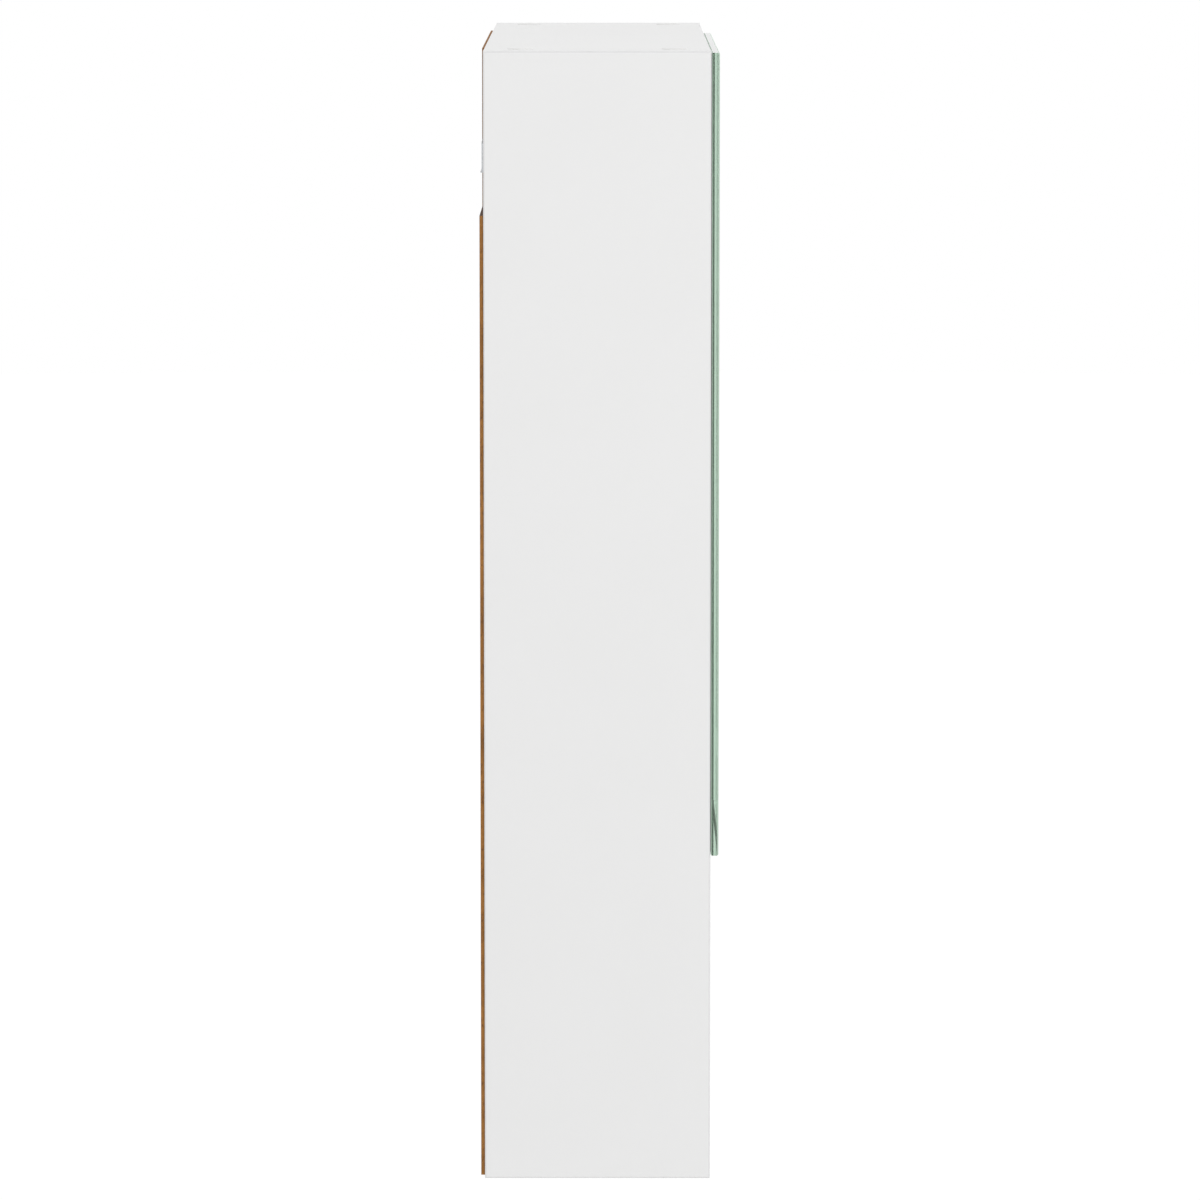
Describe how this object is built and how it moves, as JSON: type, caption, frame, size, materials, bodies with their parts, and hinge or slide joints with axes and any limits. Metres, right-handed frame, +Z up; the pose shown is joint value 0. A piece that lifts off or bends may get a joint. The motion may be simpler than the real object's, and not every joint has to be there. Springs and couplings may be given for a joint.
{
  "type": "bathroom mirror cabinet",
  "caption": "Wall-hung bathroom cabinet with a frameless hinged mirror door over the upper left, open shelves beside it and an open niche below.",
  "frame": {"origin": "midway between the keyholes of the two wall hangers, in the plane of the boards' back edges", "axes": "+Z up, +Y towards the wall, the mirror faces -Y and +X is to the right of someone facing the mirror"},
  "size_m": [0.6, 0.1578, 0.7512],
  "materials": {
    "white_board": "white melamine face, satin",
    "hardboard": "brown hardboard, matt, fibrous",
    "mirror": "silvered float glass with ground green edges",
    "nickel_steel": "nickel-plated steel, satin",
    "zinc_steel": "zinc-plated steel, satin",
    "cast_zinc": "zinc die-casting, matt",
    "white_plastic": "white moulded plastic, satin",
    "magnet": "dark ferrite, matt",
    "beech": "bare beech"
  },
  "bodies": {
    "carcass": {"left_side_panel": "white_board", "right_side_panel": "white_board", "top_panel": "white_board", "bottom_panel": "white_board", "fixed_shelf": "white_board", "divider": "white_board", "lower_cabinet_shelf": "white_board", "upper_cabinet_shelf": "white_board", "lower_column_shelf": "white_board", "upper_column_shelf": "white_board", "back_panel": "hardboard", "back_panel_nails": "zinc_steel", "left_wall_hanger": "zinc_steel", "right_wall_hanger": "zinc_steel", "hanger_screws": "zinc_steel", "cam_locks": "cast_zinc", "cam_bolts": "zinc_steel", "cam_covers": "white_plastic", "wood_dowels": "beech", "shelf_pins": "nickel_steel", "catch_housing": "white_plastic", "catch_magnet": "magnet", "catch_pole_plates": "zinc_steel", "catch_screws": "zinc_steel", "upper_fixed_leaf": "nickel_steel", "upper_hinge_pin": "nickel_steel", "upper_hinge_screws": "nickel_steel", "lower_fixed_leaf": "nickel_steel", "lower_hinge_pin": "nickel_steel", "lower_hinge_screws": "nickel_steel"},
    "door": {"mirror_glass": "mirror", "upper_door_leaf": "nickel_steel", "lower_door_leaf": "nickel_steel", "strike_plate": "nickel_steel"}
  },
  "joints": [
    {"name": "door_swing", "type": "hinge", "parent": "carcass", "child": "door", "pos_m": [0.1028, -0.14905, -0.19475], "axis": [0, 0, 1], "range_deg": [0, 105]}
  ]
}
